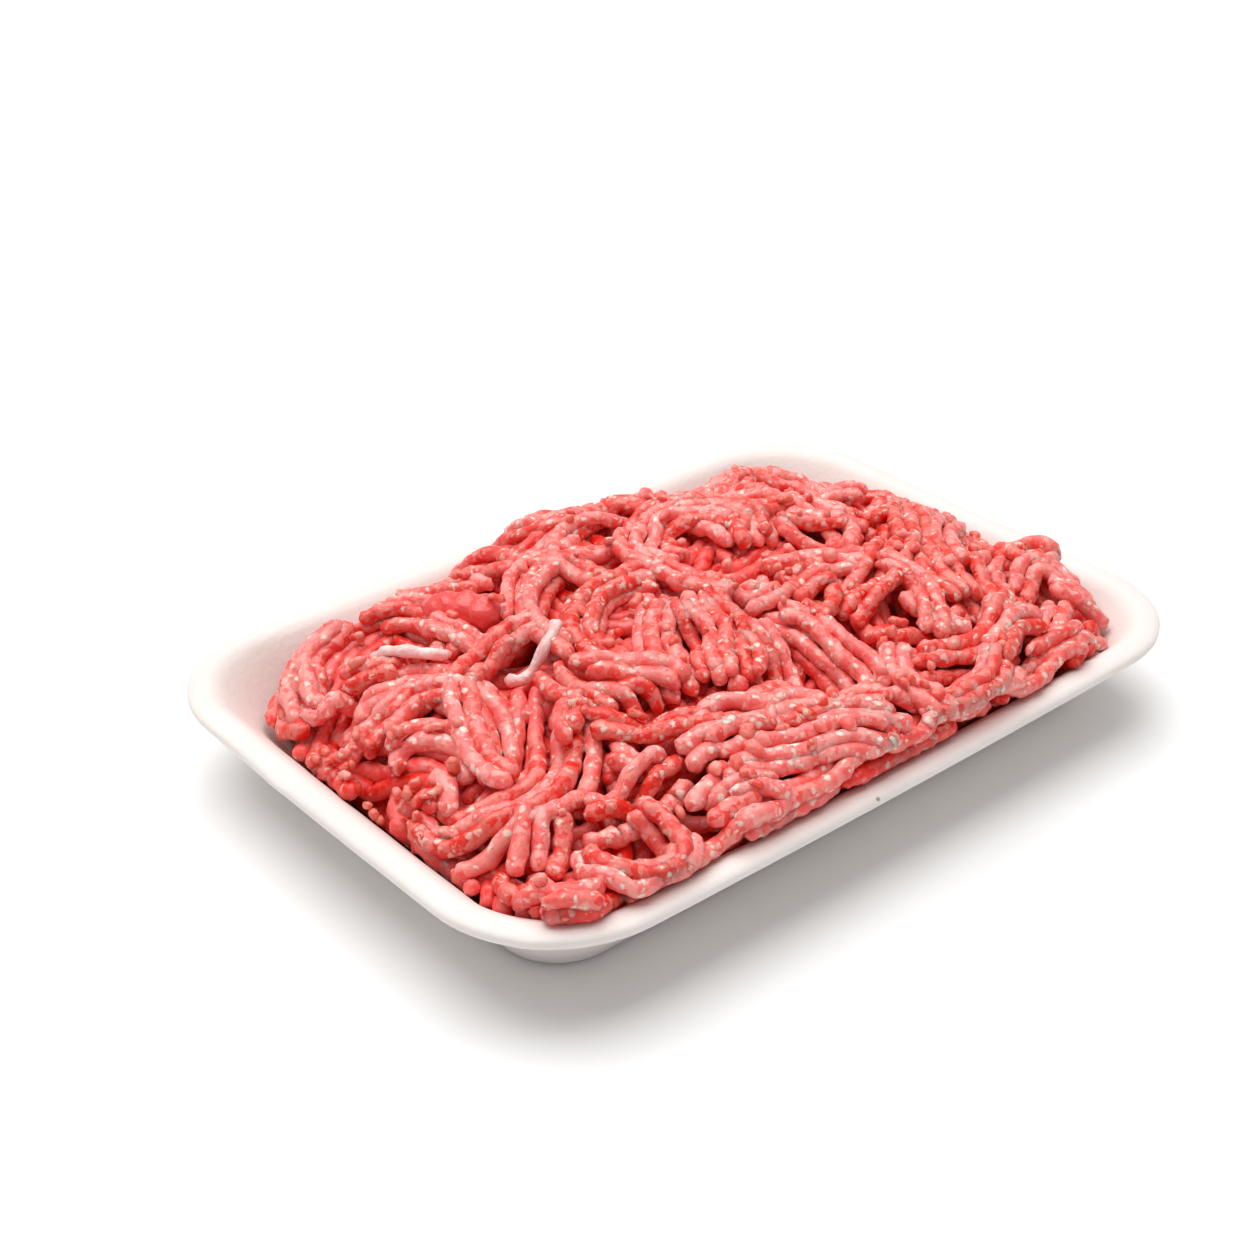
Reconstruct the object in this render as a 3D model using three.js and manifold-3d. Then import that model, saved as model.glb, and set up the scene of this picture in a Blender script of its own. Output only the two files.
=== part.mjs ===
// A white foam supermarket tray heaped with long strands of freshly minced red meat.
// Millimetres, +Z up. The origin is the middle of the flat underside and +X runs along the tray's long side.
import * as THREE from "three";
import { mergeVertices } from "three/addons/utils/BufferGeometryUtils.js";
import { ParametricGeometry } from "three/addons/geometries/ParametricGeometry.js";
import Module from "manifold-3d";

const wasm = await Module();
wasm.setup();

// The tray: outer size over the lip, and how its sides bow out and its rim sags between the corners.
const TRAY = {
  length: 210,
  width: 146,
  height: 24,
  cornerRadius: 29.3,
  cornerTaper: 0.8,
  bowOfShortSides: 0.83,
  bowOfLongSides: 0.59,
  sagOfShortSides: 0.84,
  sagOfLongSides: 1.06,
  floorThickness: 3.6,
};

// The tray's section from the middle of the underside, round the lip, to the middle of the floor.
// Each point is [how far in from the lip's outer edge, height]. The wall is what the mince can lie against.
const UNDERSIDE = [
  [21.5, 0],
  [19.4, 0.9],
  [18, 3],
  [9.4, 14.6],
  [7.6, 17.6],
  [5.2, 19.4],
  [2, 20.1],
];
const LIP = [
  [0.2, 21.5],
  [0, 22.8],
  [1.4, 23.8],
  [4.2, 24],
  [6.2, 23.3],
];
const INSIDE = [
  [8.2, 21.6],
  [11.8, 17.2],
  [20.4, 5.6],
  [23, 4.1],
  [26.5, TRAY.floorThickness],
];
const SECTION = [...UNDERSIDE, ...LIP, ...INSIDE];
const WALL = [LIP[LIP.length - 1], ...INSIDE];

// The strands from the round holes of a mincer plate. A strand turns at most widestTurn degrees a step,
// presses pressedIn of its radius into what it lies on, and each end stops up to trim short of its arc.
const STRAND = {
  radius: 2.4,
  sides: 5,
  pitch: 4.9,
  longestStep: 15,
  widestTurn: 27,
  fewestSteps: 3,
  tightestBend: 3,
  pressedIn: 0.4,
  footprint: 0.6,
  wander: 0.8,
  trim: 5,
};
const CLEARANCE = 0.35;
const SEED = 11;

// The heap that the strands build up over the tray, and how far below its top the solid core lies.
const HEAP = {
  halfLength: 101,
  halfWidth: 70,
  edgeHeight: 16,
  ridgeHeight: 34,
  crownHeight: 7,
  crownAt: 15,
  crownSpread: 55,
  lowestShare: -1.2,
  layerOnCore: 4.2,
};
// Its hills and hollows: [centre x, centre y, reach along x, reach along y, rise].
const HILLS = [
  [75, 35, 30, 22, -4],
  [-79, 46, 9, 9, 5],
  [-35, 48, 8, 9, -5],
  [-4, 55, 8, 8, 3],
  [88, -34, 6, 7, 5],
  [-60, -46, 10, 8, -3],
  [-12, -68, 60, 6, 4],
  [-97, -22, 7, 26, 2.5],
];
// At three corners the heap stops short of the tray: sign of x, sign of y, where its rounding starts.
const FREE_CORNERS = [
  [-1, 1, 46, 18],
  [1, 1, 50, 20],
  [1, -1, 52, 22],
];
const CORNER_ROUNDING = 46;

// The bundles of strands that fell from the mincer side by side, each bent along an arc, lowest first:
// [strands, centre x, centre y, radius at the start, radius at the end, start angle, end angle].
const BUNDLES = [
  [1, -10, 2938.5, 3000, 3000, -91.3, -88.5],
  [3, -40, 70, 28, 28, 195, 300],
  [2, -2, 66, 24, 22, 190, 330],
  [2, 40, 64, 26, 26, 200, 335],
  [2, 60, 22, 26, 30, 70, -50],
  [2, 34, 2, 26, 26, 115, 10],
  [2, 86, -2, 12, 13, 80, 250],
  [3, -64, 28, 24, 24, 75, 190],
  [3, -83, 8, 14, 22, 100, -36],
  [2, -64, 28, 12, 14, 80, -29],
  [2, -1, 2, 50, 50, 150, 112],
  [2, -5, -11, 53, 54, 110, 64],
  [2, 1, 8, 44, 30, 185, 100],
  [3, -78, -16, 22, 14, 5, -190],
  [1, -82, -3, 9, 12, 110, -80],
  [2, 49, 17, 26, 22, 200, 70],
  [2, 61, 30, 14, 14, 190, -10],
  [2, 14, -38, 30, 31, 95, 20],
  [2, 125, -66, 83, 81, 120, 165],
  [2, 18, 15, 47, 44, -20, -95],
  [2, 66, -28, 15, 17, 150, -60],
  [2, -11, -12, 25, 19, -150, -295],
  [2, 17, -30, 46, 38, -174, -229],
  [3, -50, 0, 46, 45, -62, 0],
  [2, 33, -8, 37, 36, -125, -70],
  [2, -32, -40, 40, 39, 36, -28],
  [2, 30, -5, 52, 50, -45, -112],
  [2, 21, -27, 36, 37, -50, -125],
  [2, 62, -42, 18, 18, -30, -150],
  [2, -51, -34, 19, 18, 100, -3],
  [2, 39, 0, 14, 15, 180, -30],
  [2, 1, 10, 42, 24, 178, 111],
  [2, -66, -54, 13, 13, 20, -190],
  [2, -70, -52, 18, 18, 120, 200],
  [2, -36, -102, 58, 54, 102, 45],
  [3, -43, -130, 76, 74, 92, 54],
];

const WHITE_FOAM = { color: 0xf3efeb, roughness: 0.6, metalness: 0 };
const RED_MINCE = { color: 0xd2484a, roughness: 0.35, metalness: 0 };

// A number from 0 to 1 that is the same each time, from the bits of a running counter.
function seededRandom(seed) {
  let state = seed;
  return () => {
    state = (state + 0x6d2b79f5) | 0;
    let mixed = Math.imul(state ^ (state >>> 15), 1 | state);
    mixed = (mixed + Math.imul(mixed ^ (mixed >>> 7), 61 | mixed)) ^ mixed;
    return ((mixed ^ (mixed >>> 14)) >>> 0) / 4294967296;
  };
}

// One closed solid from a geometry whose faces already close. Points closer than SAME_POINT become one.
const SAME_POINT = 1e-4;
function solidOf(geometry) {
  const bare = geometry.clone();
  bare.deleteAttribute("normal");
  bare.deleteAttribute("uv");
  const merged = mergeVertices(bare, SAME_POINT);
  const corners = merged.index.array;
  const kept = [];
  for (let i = 0; i < corners.length; i += 3) {
    const [a, b, c] = [corners[i], corners[i + 1], corners[i + 2]];
    if (a !== b && b !== c && c !== a) kept.push(a, b, c);
  }
  const mesh = new wasm.Mesh({
    numProp: 3,
    vertProperties: merged.attributes.position.array,
    triVerts: new Uint32Array(kept),
  });
  return new wasm.Manifold(mesh);
}

function geometryOf(solid) {
  const mesh = solid.getMesh();
  const geometry = new THREE.BufferGeometry();
  geometry.setAttribute("position", new THREE.BufferAttribute(mesh.vertProperties, 3));
  geometry.setIndex(new THREE.BufferAttribute(mesh.triVerts, 1));
  geometry.computeVertexNormals();
  return geometry;
}

// The half length, half width and corner radius of the tray's outline at an inset from the lip.
function outlineAt(inset) {
  return {
    halfLength: TRAY.length / 2 - inset,
    halfWidth: TRAY.width / 2 - inset,
    radius: TRAY.cornerRadius - TRAY.cornerTaper * inset,
  };
}

// One turn round the rounded rectangle: each corner's arc, then the stretch to the next corner.
const ARC_STEPS = 6;
const SIDE_STEPS = [3, 5];
function turnOfOutline() {
  const stops = [];
  for (let corner = 0; corner < 4; corner++) {
    for (let step = 0; step < ARC_STEPS; step++) {
      stops.push({ corner, turn: step / ARC_STEPS, along: 0 });
    }
    const sideSteps = SIDE_STEPS[(corner + 1) % 2];
    for (let step = 0; step < sideSteps; step++) {
      stops.push({ corner, turn: 1, along: step / sideSteps });
    }
  }
  return stops;
}
const STOPS = turnOfOutline();

// The point at one stop of the outline, before the sides bow.
function outlinePoint(stop, inset) {
  const { halfLength, halfWidth, radius } = outlineAt(inset);
  const cornerPoint = (corner, turn) => {
    const angle = ((corner + turn) * Math.PI) / 2;
    const signX = corner === 0 || corner === 3 ? 1 : -1;
    const signY = corner < 2 ? 1 : -1;
    return new THREE.Vector2(
      signX * (halfLength - radius) + radius * Math.cos(angle),
      signY * (halfWidth - radius) + radius * Math.sin(angle),
    );
  };
  const from = cornerPoint(stop.corner, stop.turn);
  if (stop.along === 0) return from;
  return from.lerp(cornerPoint((stop.corner + 1) % 4, 0), stop.along);
}

// The sides bow out and the rim sags between the corners, more the higher the point is.
function bowAndSag(x, y, z) {
  const alongLength = (x / (TRAY.length / 2)) ** 2;
  const alongWidth = (y / (TRAY.width / 2)) ** 2;
  const sag =
    TRAY.sagOfShortSides * alongLength * (1 - alongWidth) +
    TRAY.sagOfLongSides * alongWidth * (1 - alongLength);
  return new THREE.Vector3(
    x * (1 - (TRAY.bowOfShortSides / (TRAY.length / 2)) * alongWidth),
    y * (1 - (TRAY.bowOfLongSides / (TRAY.width / 2)) * alongLength),
    z * (1 - sag / TRAY.height),
  );
}

// A closed solid whose rings follow the tray's outline, from [inset, height] pairs, with a point at each end.
function ringSolid(section) {
  const rings = section.length + 1;
  const surface = (u, v, target) => {
    const ring = Math.round(v * rings);
    const [inset, height] = section[Math.min(Math.max(ring, 1), section.length) - 1];
    if (ring === 0 || ring === rings) {
      target.set(0, 0, height);
      return;
    }
    const stop = STOPS[Math.round(u * STOPS.length) % STOPS.length];
    const point = outlinePoint(stop, inset);
    target.copy(bowAndSag(point.x, point.y, height));
  };
  return solidOf(new ParametricGeometry(surface, STOPS.length, rings));
}

// How far in from the lip's outer edge the inside of the tray is at a height.
function wallInset(height) {
  if (height >= WALL[0][1]) return WALL[0][0];
  for (let i = 1; i < WALL.length; i++) {
    const [outerInset, upper] = WALL[i - 1];
    const [innerInset, lower] = WALL[i];
    if (height >= lower) {
      return outerInset + ((innerInset - outerInset) * (upper - height)) / (upper - lower);
    }
  }
  return WALL[WALL.length - 1][0];
}

function bell(distance) {
  return Math.exp(-(distance ** 2) / 2);
}

// The height of the finished heap over a point: a long crown that falls to the walls, with its hills.
function heapHeight(x, y) {
  const acrossLength = Math.abs(x) / HEAP.halfLength;
  const acrossWidth = Math.abs(y) / HEAP.halfWidth;
  let share = Math.max(1 - acrossLength ** 5, -1) * Math.max(1 - acrossWidth ** 4, -1);
  for (const [signX, signY, startX, startY] of FREE_CORNERS) {
    const pastX = Math.max((signX * x - startX) / CORNER_ROUNDING, 0);
    const pastY = Math.max((signY * y - startY) / CORNER_ROUNDING, 0);
    share = Math.min(share, Math.max(1 - (pastX ** 2 + pastY ** 2) ** 2, HEAP.lowestShare));
  }
  const crown = HEAP.crownHeight * bell((x - HEAP.crownAt) / HEAP.crownSpread);
  let height = HEAP.edgeHeight + (HEAP.ridgeHeight + crown - HEAP.edgeHeight) * share;
  for (const [centreX, centreY, reachX, reachY, rise] of HILLS) {
    height += rise * bell((x - centreX) / reachX) * bell((y - centreY) / reachY);
  }
  return height;
}

// How far in from the lip's outer edge a point is.
function insetOf(x, y) {
  const { halfLength, halfWidth, radius } = outlineAt(0);
  const pastX = Math.abs(x) - halfLength + radius;
  const pastY = Math.abs(y) - halfWidth + radius;
  const outside = Math.hypot(Math.max(pastX, 0), Math.max(pastY, 0));
  return radius - outside - Math.min(Math.max(pastX, pastY), 0);
}

// The height of the tray's inside under a point.
function trayHeight(x, y) {
  const inset = insetOf(x, y);
  for (let i = 1; i < WALL.length; i++) {
    const [outerInset, upper] = WALL[i - 1];
    const [innerInset, lower] = WALL[i];
    if (inset <= innerInset) {
      const share = Math.max((inset - outerInset) / (innerInset - outerInset), 0);
      return upper + (lower - upper) * share;
    }
  }
  return TRAY.floorThickness;
}

// Moves a strand's point in until the whole strand clears the wall.
function insideTray(x, y, z) {
  const inset = wallInset(z - STRAND.radius * 0.5) + STRAND.radius + CLEARANCE;
  const { halfLength, halfWidth, radius } = outlineAt(inset);
  const pastX = Math.abs(x) - halfLength + radius;
  const pastY = Math.abs(y) - halfWidth + radius;
  const reach = Math.hypot(Math.max(pastX, 0), Math.max(pastY, 0));
  if (reach <= radius) return [x, y];
  const scale = radius / reach;
  return [
    pastX > 0 ? Math.sign(x) * (halfLength - radius + pastX * scale) : x,
    pastY > 0 ? Math.sign(y) * (halfWidth - radius + pastY * scale) : y,
  ];
}

// The top of what lies in the tray so far, on a square grid.
const CELL = 1.5;
class HeightMap {
  constructor(height) {
    this.columns = Math.ceil(TRAY.length / CELL) + 1;
    this.rows = Math.ceil(TRAY.width / CELL) + 1;
    this.tops = new Float64Array(this.columns * this.rows);
    this.eachCellNear(0, 0, TRAY.length, (index, x, y) => {
      this.tops[index] = height(x, y);
    });
  }

  eachCellNear(x, y, reach, visit) {
    const column = (value) => Math.round((value + TRAY.length / 2) / CELL);
    const row = (value) => Math.round((value + TRAY.width / 2) / CELL);
    const lastRow = Math.min(row(y + reach), this.rows - 1);
    const lastColumn = Math.min(column(x + reach), this.columns - 1);
    for (let r = Math.max(row(y - reach), 0); r <= lastRow; r++) {
      for (let c = Math.max(column(x - reach), 0); c <= lastColumn; c++) {
        visit(r * this.columns + c, c * CELL - TRAY.length / 2, r * CELL - TRAY.width / 2);
      }
    }
  }

  highestNear(x, y, reach) {
    let highest = 0;
    this.eachCellNear(x, y, reach, (index) => {
      highest = Math.max(highest, this.tops[index]);
    });
    return highest;
  }

  cover(point, radius) {
    this.eachCellNear(point.x, point.y, radius, (index, x, y) => {
      const distance = Math.hypot(x - point.x, y - point.y);
      if (distance >= radius) return;
      this.tops[index] = Math.max(this.tops[index], point.z + Math.sqrt(radius ** 2 - distance ** 2));
    });
  }
}

// The centre line of one strand: its arc in plan, laid over whatever lies there already.
function laidStrand(map, bundle, lane, random) {
  const [strands, centreX, centreY, startRadius, endRadius, startAngle, endAngle] = bundle;
  const offset = (lane - (strands - 1) / 2) * STRAND.pitch;
  const way = Math.sign(endAngle - startAngle);
  const from = THREE.MathUtils.degToRad(startAngle) + (way * STRAND.trim * random()) / startRadius;
  const to = THREE.MathUtils.degToRad(endAngle) - (way * STRAND.trim * random()) / endRadius;
  const turned = Math.abs(to - from);
  const length = (turned * (startRadius + endRadius)) / 2;
  const steps = Math.ceil(
    Math.max(
      length / STRAND.longestStep,
      THREE.MathUtils.radToDeg(turned) / STRAND.widestTurn,
      STRAND.fewestSteps,
    ),
  );
  const wander = () => STRAND.wander * (2 * random() - 1);
  const plan = [];
  for (let step = 0; step <= steps; step++) {
    const along = step / steps;
    const middle = startRadius + (endRadius - startRadius) * along;
    const radius = Math.max(middle + offset, STRAND.tightestBend);
    const angle = from + (to - from) * along;
    plan.push([
      centreX + radius * Math.cos(angle) + wander(),
      centreY + radius * Math.sin(angle) + wander(),
    ]);
  }
  const rests = plan.map(([x, y]) => map.highestNear(x, y, STRAND.radius * STRAND.footprint));
  return plan.map(([x, y], i) => {
    const before = rests[Math.max(i - 1, 0)];
    const after = rests[Math.min(i + 1, steps)];
    const z = (before + 2 * rests[i] + after) / 4 + STRAND.radius * (1 - STRAND.pressedIn);
    const [clearX, clearY] = insideTray(x, y, z);
    return new THREE.Vector3(clearX, clearY, z);
  });
}

function strandSolid(points) {
  const section = new THREE.Shape();
  for (let side = 0; side <= STRAND.sides; side++) {
    const angle = (2 * Math.PI * side) / STRAND.sides;
    const corner = [STRAND.radius * Math.cos(angle), STRAND.radius * Math.sin(angle)];
    if (side === 0) section.moveTo(...corner);
    else section.lineTo(...corner);
  }
  const tube = new THREE.ExtrudeGeometry(section, {
    steps: points.length - 1,
    bevelEnabled: false,
    extrudePath: new THREE.CatmullRomCurve3(points, false, "centripetal"),
  });
  return solidOf(tube);
}

// The block of mince under the visible strands: the heap, lowered by one layer, inside the tray's hollow.
const CORE_CELLS = [14, 10];
const UNDER_THE_TRAY = -10;
const OVER_THE_HEAP = 60;
function coreSolid() {
  const [lipEdge, upper, middle, lower, floorEdge, floor] = WALL;
  const hollow = ringSolid([
    [floor[0] + CLEARANCE, floorEdge[1] + CLEARANCE],
    [lower[0] + CLEARANCE, lower[1] + CLEARANCE],
    [middle[0] + CLEARANCE, middle[1] + CLEARANCE],
    [upper[0] + CLEARANCE, upper[1] + CLEARANCE],
    [lipEdge[0] + CLEARANCE, OVER_THE_HEAP],
  ]);
  const top = (u, v, target) => {
    const x = (u - 0.5) * TRAY.length;
    const y = (v - 0.5) * TRAY.width;
    target.set(x, y, heapHeight(x, y) - HEAP.layerOnCore);
  };
  const heap = solidOf(closedSheet(top, ...CORE_CELLS, UNDER_THE_TRAY));
  return hollow.intersect(heap);
}

// A height field made solid: the sheet, a flat copy of it below, and walls round both.
function closedSheet(surface, columns, rows, bottom) {
  const sheet = new ParametricGeometry(surface, columns, rows);
  const across = columns + 1;
  const count = across * (rows + 1);
  const positions = new Float32Array(count * 6);
  positions.set(sheet.attributes.position.array);
  for (let i = 0; i < count; i++) {
    positions[(count + i) * 3] = positions[i * 3];
    positions[(count + i) * 3 + 1] = positions[i * 3 + 1];
    positions[(count + i) * 3 + 2] = bottom;
  }
  const index = [...sheet.index.array];
  for (let i = 0; i < sheet.index.array.length; i += 3) {
    const [a, b, c] = sheet.index.array.slice(i, i + 3);
    index.push(count + a, count + c, count + b);
  }
  const rim = [];
  for (let c = 0; c < columns; c++) rim.push(c);
  for (let r = 0; r < rows; r++) rim.push(r * across + columns);
  for (let c = columns; c > 0; c--) rim.push(rows * across + c);
  for (let r = rows; r > 0; r--) rim.push(r * across);
  rim.forEach((here, i) => {
    const next = rim[(i + 1) % rim.length];
    index.push(next, here, count + here, count + here, count + next, next);
  });
  const geometry = new THREE.BufferGeometry();
  geometry.setAttribute("position", new THREE.BufferAttribute(positions, 3));
  geometry.setIndex(index);
  return geometry;
}

// The core and its strands as one body, without the sealed hollows and loose scraps that joining leaves.
function minceSolid() {
  const random = seededRandom(SEED);
  const onTray = STRAND.radius * STRAND.pressedIn + CLEARANCE;
  const map = new HeightMap((x, y) => {
    return Math.max(heapHeight(x, y) - HEAP.layerOnCore, trayHeight(x, y) + onTray);
  });
  let mince = coreSolid();
  for (const bundle of BUNDLES) {
    const [strands] = bundle;
    for (let lane = 0; lane < strands; lane++) {
      const points = laidStrand(map, bundle, lane, random);
      points.forEach((point) => map.cover(point, STRAND.radius));
      mince = mince.add(strandSolid(points));
    }
  }
  const bodies = mince.decompose().filter((body) => body.volume() > 0);
  bodies.sort((a, b) => b.volume() - a.volume());
  return bodies[0];
}

function namedMesh(name, solid, finish) {
  const mesh = new THREE.Mesh(geometryOf(solid), new THREE.MeshStandardMaterial(finish));
  mesh.name = name;
  return mesh;
}

const meatTray = new THREE.Group();
meatTray.add(namedMesh("tray", ringSolid(SECTION), WHITE_FOAM));
meatTray.add(namedMesh("mince", minceSolid(), RED_MINCE));

export default meatTray;
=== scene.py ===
# %% [markdown]
# A supermarket meat tray: a white foam tray with a rolled lip, heaped with long strands of minced meat.
# The CAD frame fixes the size and the place of both pieces. This lesson gives them their looks: a smooth
# foam skin for the tray, and several hundred real strands for the heap, each laid over what lies there
# already. All sizes are in millimetres until a mesh is made.

# %% Load the frame
import math

import bpy
import numpy as np
from mathutils import Matrix


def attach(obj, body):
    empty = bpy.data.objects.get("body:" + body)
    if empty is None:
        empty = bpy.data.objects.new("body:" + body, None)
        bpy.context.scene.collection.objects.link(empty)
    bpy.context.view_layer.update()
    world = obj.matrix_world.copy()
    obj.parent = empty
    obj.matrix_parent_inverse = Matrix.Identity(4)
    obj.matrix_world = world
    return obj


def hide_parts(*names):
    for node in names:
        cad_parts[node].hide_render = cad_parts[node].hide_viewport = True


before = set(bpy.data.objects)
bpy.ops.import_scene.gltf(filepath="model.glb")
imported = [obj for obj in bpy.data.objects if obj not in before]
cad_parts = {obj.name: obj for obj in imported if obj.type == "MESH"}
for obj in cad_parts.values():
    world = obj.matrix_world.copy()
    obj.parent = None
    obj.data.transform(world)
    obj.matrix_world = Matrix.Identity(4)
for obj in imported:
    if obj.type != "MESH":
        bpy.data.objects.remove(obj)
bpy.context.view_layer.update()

MM = 0.001

# %% [markdown]
# Every piece here is a grid of points worked out with numpy: rings that follow each other along a path or
# round a middle. A stack of modifiers could make such shapes too, but is hard to place to a tenth of a
# millimetre. A few helpers turn a grid into a mesh, so that no other step has to count faces.

# %% Helpers for grids and meshes


def new_piece(name, points, faces, material):
    """A smooth mesh object at the origin from points in millimetres and faces as rows of point
    numbers."""
    mesh = bpy.data.meshes.new(name)
    corners = np.asarray(faces, np.int32)
    sides = corners.shape[1]
    mesh.vertices.add(len(points))
    mesh.vertices.foreach_set("co", (np.asarray(points, float) * MM).ravel())
    mesh.loops.add(corners.size)
    mesh.loops.foreach_set("vertex_index", corners.ravel())
    mesh.polygons.add(len(corners))
    mesh.polygons.foreach_set("loop_start", np.arange(0, corners.size, sides, dtype=np.int32))
    mesh.polygons.foreach_set("use_smooth", np.ones(len(corners), bool))
    mesh.update(calc_edges=True)
    mesh.validate()
    mesh.materials.append(material)
    piece = bpy.data.objects.new(name, mesh)
    bpy.context.scene.collection.objects.link(piece)
    return piece


def ring_faces(rings, around, first):
    """Triangles between rings of points. Ring i's point j is number first + i * around + j, and each
    ring closes on itself."""
    i, j = np.meshgrid(np.arange(rings - 1), np.arange(around), indexing="ij")
    a = (first + i * around + j).ravel()
    b = (first + i * around + (j + 1) % around).ravel()
    c = b + around
    d = a + around
    return np.concatenate([np.stack([a, b, c], 1), np.stack([a, c, d], 1)])


def fan_faces(ring_start, around, tip, flip=False):
    """Triangles from a ring of points to one tip point, turned the other way round with flip."""
    j = np.arange(around)
    a = ring_start + j
    b = ring_start + (j + 1) % around
    t = np.full(around, tip)
    return np.stack([b, a, t] if flip else [a, b, t], 1)


def closed_faces(rings, around, first=0):
    """The faces of a stack of rings that a fan closes at both ends. After the rings' points come two
    tips: the first ring's and then the last ring's."""
    tip = first + rings * around
    return np.concatenate([
        ring_faces(rings, around, first),
        fan_faces(first, around, tip, flip=True),
        fan_faces(tip - around, around, tip + 1),
    ])


def set_attribute(piece, name, values):
    """A number for each point, which a material can read by this name."""
    attribute = piece.data.attributes.new(name, "FLOAT", "POINT")
    attribute.data.foreach_set("value", np.asarray(values, np.float32))


print("two rings of four points close to", len(closed_faces(2, 4)), "triangles")

# %% [markdown]
# The tray is one sheet of polystyrene foam, pressed to shape while warm. Seen from above it is a rounded
# rectangle whose sides bow out a little, and its rim sags between the corners. A box with bevels could
# not have that bow, so the tray is a section, carried round the outline: each ring of points is the
# outline drawn in by the section's inset, at the section's height.

# %% Sizes of the tray
TRAY_LENGTH = 210.0
TRAY_WIDTH = 146.0
TRAY_HEIGHT = 24.0
HALF_LENGTH = TRAY_LENGTH / 2
HALF_WIDTH = TRAY_WIDTH / 2
CORNER_RADIUS = 29.3
# How much a corner's radius shrinks for each millimetre of inset.
CORNER_TAPER = 0.8
BOW_SHORT_SIDES = 0.83
BOW_LONG_SIDES = 0.59
SAG_SHORT_SIDES = 0.84
SAG_LONG_SIDES = 1.06
FLOOR_THICKNESS = 3.6
# The section as pairs of inset from the lip's outer edge and height: outside, over the lip, and inside.
UNDERSIDE = [[21.5, 0], [19.4, 0.9], [18, 3], [9.4, 14.6], [7.6, 17.6], [5.2, 19.4], [2, 20.1]]
LIP = [[0.2, 21.5], [0, 22.8], [1.4, 23.8], [4.2, 24], [6.2, 23.3]]
INSIDE = [[8.2, 21.6], [11.8, 17.2], [20.4, 5.6], [23, 4.1], [26.5, FLOOR_THICKNESS]]
# The smooth curve would bulge past the lip's edge but for this.
LEAST_SECTION_INSET = 0.06
POINTS_PER_SPAN = 5
RINGS_IN_FLOOR = 10
POINTS_PER_CORNER = 22
POINTS_PER_SIDE = 34


def smooth_path(points, per_span):
    """A Catmull-Rom curve through the points: each span is a cubic whose slope at a point is half the
    chord between that point's neighbours. Gives per_span points for each span, and the last point."""
    p = np.asarray(points, float)
    p = np.concatenate([[2 * p[0] - p[1]], p, [2 * p[-1] - p[-2]]])
    t = np.linspace(0, 1, per_span, endpoint=False)[:, None]
    a, b, c, d = p[:-3, None], p[1:-2, None], p[2:-1, None], p[3:, None]
    spans = 0.5 * (2 * b + (c - a) * t + (2 * a - 5 * b + 4 * c - d) * t**2 + (3 * b - a - 3 * c + d) * t**3)
    return np.concatenate([spans.reshape(-1, p.shape[1]), p[-2:-1]])


def outline(inset):
    """The rounded rectangle drawn in by inset: four quarter circles joined by straight stretches."""
    inset = np.asarray(inset, float)[..., None]
    radius = CORNER_RADIUS - CORNER_TAPER * inset
    corners = []
    for corner, (sx, sy) in enumerate([(1, 1), (-1, 1), (-1, -1), (1, -1)]):
        angle = (corner + np.linspace(0, 1, POINTS_PER_CORNER)) * math.pi / 2
        cx = sx * (HALF_LENGTH - inset - radius)
        cy = sy * (HALF_WIDTH - inset - radius)
        corners.append(np.stack([cx + radius * np.cos(angle), cy + radius * np.sin(angle)], -1))
    share = np.linspace(0, 1, POINTS_PER_SIDE + 1, endpoint=False)[1:, None]
    stretches = []
    for here, following in zip(corners, corners[1:] + corners[:1]):
        straight = here[..., -1:, :] * (1 - share) + following[..., :1, :] * share
        stretches += [here, straight]
    return np.concatenate(stretches, axis=-2)


def bow_and_sag(x, y, z):
    """Draws each side's ends in by the square of the place along it, so that its middle bows out. The
    rim sags most in the middle of a side, less by that square, and not at all at the corners."""
    u = (x / HALF_LENGTH) ** 2
    v = (y / HALF_WIDTH) ** 2
    sag = SAG_SHORT_SIDES * u * (1 - v) + SAG_LONG_SIDES * v * (1 - u)
    bowed_x = x * (1 - BOW_SHORT_SIDES / HALF_LENGTH * v)
    bowed_y = y * (1 - BOW_LONG_SIDES / HALF_WIDTH * u)
    return np.stack([bowed_x, bowed_y, z * (1 - sag / TRAY_HEIGHT)], -1)


print("the outline has", len(outline(0)), "points")

# %% [markdown]
# Pressed foam is never quite even: its skin waves by a tenth of a millimetre, and the lip has small dents
# where it was knocked. They could be sculpted, but a rule in numbers can be read and changed. It only
# draws points in or down, so that the tray stays inside its CAD size.

# %% The tray's surface
NOISE_CELLS = 32
# Waves of the foam: depth, size and seed.
FOAM_WAVES = [(0.16, 26, 3), (0.07, 7, 4)]
DOWNWARD_SHARE = 0.6
FULL_WAVES_FROM = 3.0
# Small dents in the lip: centre, width and depth.
DENTS = [
    ((-104.5, 15, 23), (2.5, 4, 3), 0.5),
    ((-13, -72.5, 23), (1.2, 1.4, 2), 0.4),
    ((-97, -62, 23), (3, 3, 3), 0.35),
    ((44, 72, 23), (5, 2, 3), 0.4),
    ((103, -22, 23), (2, 4, 3), 0.4),
]


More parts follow.
